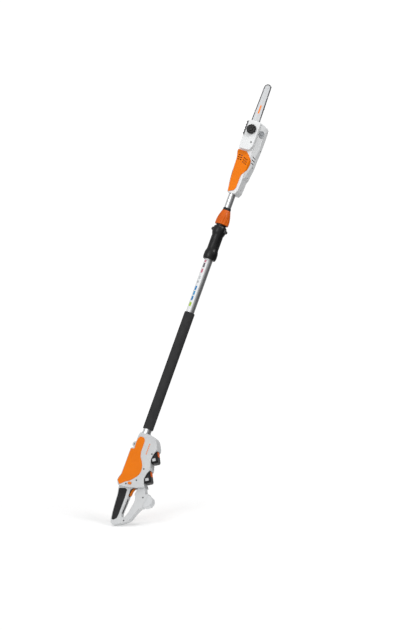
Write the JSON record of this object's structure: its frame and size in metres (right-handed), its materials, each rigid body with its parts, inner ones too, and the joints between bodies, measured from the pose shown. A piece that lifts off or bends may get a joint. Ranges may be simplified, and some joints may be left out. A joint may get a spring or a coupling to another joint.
{
  "type": "telescoping pole saw",
  "caption": "Cordless telescoping pole saw with a D-loop control handle, slide-in battery packs, foam shaft grip, twist shaft lock and a motorised chain bar head.",
  "frame": {"origin": "on the shaft axis, at the lowest point of the handle loop", "axes": "+Z along the shaft from the handle to the saw bar, +X to the front where the batteries slide in, +Y to the left side; the saw bar cover and its knob are on the -Y side"},
  "size_m": [0.1836, 0.0944, 2.0503],
  "materials": {
    "shell_plastic": "fine textured light grey moulding",
    "orange_plastic": "satin orange moulding",
    "grip_rubber": "matt black soft overmould",
    "foam": "closed-cell foam sleeve",
    "black_plastic": "satin black moulding",
    "grey_plastic": "mid grey moulding",
    "tank_plastic": "translucent natural plastic",
    "aluminium": "drawn and anodised tube",
    "screw_steel": "black oxide screws",
    "pin_steel": "ground steel",
    "gear_steel": "hardened gear steel",
    "motor_steel": "dark motor can",
    "bar_steel": "ground bar plate",
    "chain_steel": "blued chain steel",
    "cutter_chrome": "chromed cutters",
    "spike_steel": "black coated steel",
    "board_green": "solder mask",
    "contact_brass": "plated contacts",
    "cable_rubber": "cable jacket",
    "cell_wrap": "shrink wrap"
  },
  "bodies": {
    "control_unit": {"handle_shell_right": "shell_plastic", "handle_shell_left": "shell_plastic", "side_cover_right": "orange_plastic", "side_cover_left": "orange_plastic", "grip_pad_right": "grip_rubber", "grip_pad_left": "grip_rubber", "grip_ribs": "grip_rubber", "foot_bumper": "shell_plastic", "case_screws": "screw_steel", "bay_screws": "screw_steel", "pivot_pins": "pin_steel", "trigger_spring": "pin_steel", "trigger_switch": "black_plastic", "control_board": "board_green", "bay_contacts": "contact_brass", "board_lead": "cable_rubber", "outer_tube": "aluminium", "foam_grip": "foam", "end_collar": "aluminium", "clamp_housing": "black_plastic", "clamp_bolt": "screw_steel", "collet": "black_plastic", "coiled_lead": "cable_rubber"},
    "trigger": {"trigger": "orange_plastic"},
    "lockout_lever": {"lockout_lever": "black_plastic"},
    "lockout_button": {"lockout_button": "orange_plastic"},
    "battery_upper": {"battery_upper": "black_plastic", "battery_upper_cells": "cell_wrap"},
    "latch_upper": {"battery_upper_latch": "orange_plastic"},
    "battery_lower": {"battery_lower": "black_plastic", "battery_lower_cells": "cell_wrap"},
    "latch_lower": {"battery_lower_latch": "orange_plastic"},
    "lock_nut": {"lock_nut": "orange_plastic", "wiper_ring": "black_plastic"},
    "saw_shaft": {"inner_tube": "aluminium", "glide_bush": "black_plastic", "head_lead": "cable_rubber", "head_shell_right": "shell_plastic", "head_shell_left": "shell_plastic", "motor_cover": "orange_plastic", "motor_stator": "motor_steel", "idler_pin": "pin_steel", "spindle_bearings": "pin_steel", "oil_tank": "tank_plastic", "bar_stud": "pin_steel", "sprocket_cover": "shell_plastic", "bumper_spikes": "spike_steel", "head_screws": "screw_steel"},
    "motor_rotor": {"motor_rotor": "gear_steel"},
    "idler": {"idler_gear": "gear_steel"},
    "drive": {"drive_gear": "gear_steel", "drive_sprocket": "gear_steel"},
    "bar": {"guide_bar": "bar_steel", "drive_links": "chain_steel", "tie_straps": "chain_steel", "cutters": "cutter_chrome", "chain_rivets": "chain_steel"},
    "nose": {"nose_sprocket": "gear_steel"},
    "cover_knob": {"cover_knob": "black_plastic"},
    "oil_cap": {"oil_cap": "grey_plastic"}
  },
  "joints": [
    {"name": "telescope", "type": "slide", "parent": "control_unit", "child": "saw_shaft", "axis": [0, 0, 1], "range_m": [0, 0.68], "deforming": ["coiled_lead"]},
    {"name": "lock_nut_turn", "type": "hinge", "parent": "control_unit", "child": "lock_nut", "pos_m": [0, 0, 1.43], "axis": [0, 0, 1], "range_deg": [0, 120]},
    {"name": "trigger_pull", "type": "hinge", "parent": "control_unit", "child": "trigger", "pos_m": [0.034, 0, 0.19], "axis": [0, 1, 0], "range_deg": [0, 8], "stiffness_Nm_per_rad": 0.6, "springref_deg": -8.59},
    {"name": "lockout_lever_press", "type": "hinge", "parent": "control_unit", "child": "lockout_lever", "pos_m": [0.053, 0, 0.184], "axis": [0, 1, 0], "range_deg": [0, 4], "stiffness_Nm_per_rad": 0.5, "springref_deg": -8.59},
    {"name": "lockout_button_push", "type": "slide", "parent": "control_unit", "child": "lockout_button", "axis": [0, 1, 0], "range_m": [0, 0.0022], "stiffness_N_per_m": 500, "springref_m": -0.001},
    {"name": "battery_upper_eject", "type": "slide", "parent": "control_unit", "child": "battery_upper", "axis": [0.4695, 0, -0.8829], "range_m": [0, 0.11]},
    {"name": "latch_upper_press", "type": "slide", "parent": "battery_upper", "child": "latch_upper", "axis": [-0.8829, 0, -0.4695], "range_m": [0, 0.0015], "stiffness_N_per_m": 700, "springref_m": -0.001},
    {"name": "battery_lower_eject", "type": "slide", "parent": "control_unit", "child": "battery_lower", "axis": [0.4695, 0, -0.8829], "range_m": [0, 0.045]},
    {"name": "latch_lower_press", "type": "slide", "parent": "battery_lower", "child": "latch_lower", "axis": [-0.8829, 0, -0.4695], "range_m": [0, 0.0015], "stiffness_N_per_m": 700, "springref_m": -0.001},
    {"name": "motor_spin", "type": "hinge", "parent": "saw_shaft", "child": "motor_rotor", "pos_m": [0, 0, 1.698], "axis": [0, 1, 0], "continuous": true},
    {"name": "idler_spin", "type": "hinge", "parent": "saw_shaft", "child": "idler", "pos_m": [0, 0, 1.728], "axis": [0, 1, 0], "continuous": true},
    {"name": "drive_spin", "type": "hinge", "parent": "saw_shaft", "child": "drive", "pos_m": [0, 0, 1.776], "axis": [0, 1, 0], "continuous": true},
    {"name": "bar_tension", "type": "slide", "parent": "saw_shaft", "child": "bar", "axis": [0, 0, -1], "range_m": [0, 0.002]},
    {"name": "nose_spin", "type": "hinge", "parent": "bar", "child": "nose", "pos_m": [0, -0.033, 2.034], "axis": [0, 1, 0], "continuous": true},
    {"name": "cover_knob_turn", "type": "hinge", "parent": "saw_shaft", "child": "cover_knob", "pos_m": [0, -0.05, 1.833], "axis": [0, -1, 0], "range_deg": [0, 360]},
    {"name": "oil_cap_turn", "type": "hinge", "parent": "saw_shaft", "child": "oil_cap", "pos_m": [0.0385, -0.011, 1.829], "axis": [0.87, -0.493, 0], "range_deg": [0, 90]}
  ],
  "couplings": [
    {"joint": "idler_spin", "follows": "motor_spin", "ratio": -0.42857},
    {"joint": "drive_spin", "follows": "motor_spin", "ratio": 0.33333},
    {"joint": "nose_spin", "follows": "motor_spin", "ratio": 0.25926}
  ]
}
